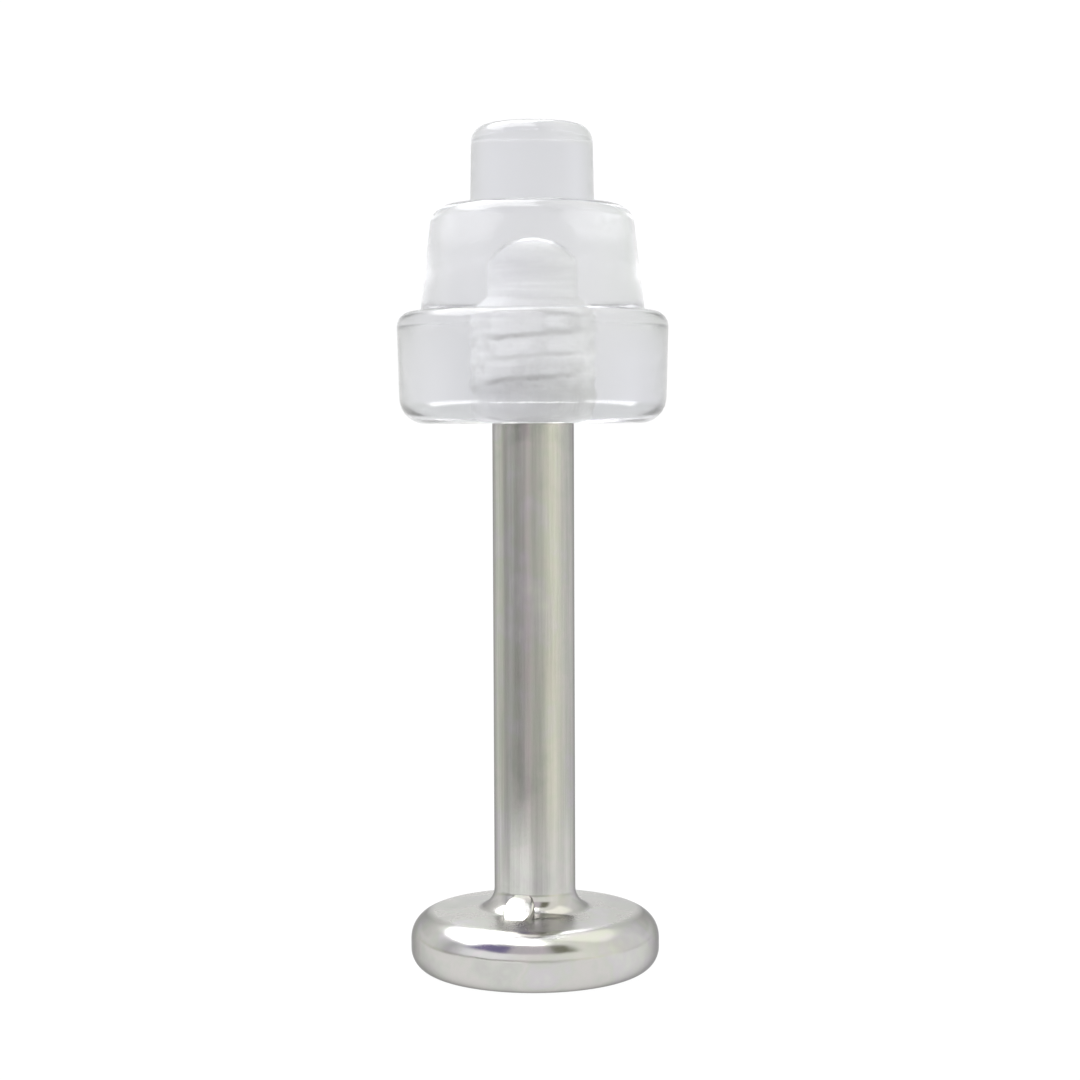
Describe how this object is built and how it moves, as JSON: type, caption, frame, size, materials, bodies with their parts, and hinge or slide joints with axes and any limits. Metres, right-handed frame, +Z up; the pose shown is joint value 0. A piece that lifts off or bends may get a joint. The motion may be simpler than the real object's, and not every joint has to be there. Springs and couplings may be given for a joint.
{
  "type": "labret stud",
  "caption": "Threaded labret stud: a flat steel disc on a straight round bar, topped by a clear screw-on end stepped in tiers.",
  "frame": {"origin": "centre of the disc's flat underside", "axes": "+Z up the bar towards the clear top; the part is round about Z, so X and Y are free"},
  "size_m": [0.0054, 0.0054, 0.0166],
  "materials": {
    "steel": "polished surgical steel with fine handling marks",
    "clear_acrylic": "clear polished acrylic with a faint cool haze"
  },
  "bodies": {
    "post": {"post": "steel"},
    "clear_top": {"clear_top": "clear_acrylic"}
  },
  "joints": [
    {"name": "top_lift", "type": "slide", "parent": "post", "child": "clear_top", "axis": [0, 0, 1], "range_m": [0, 0.012]}
  ]
}
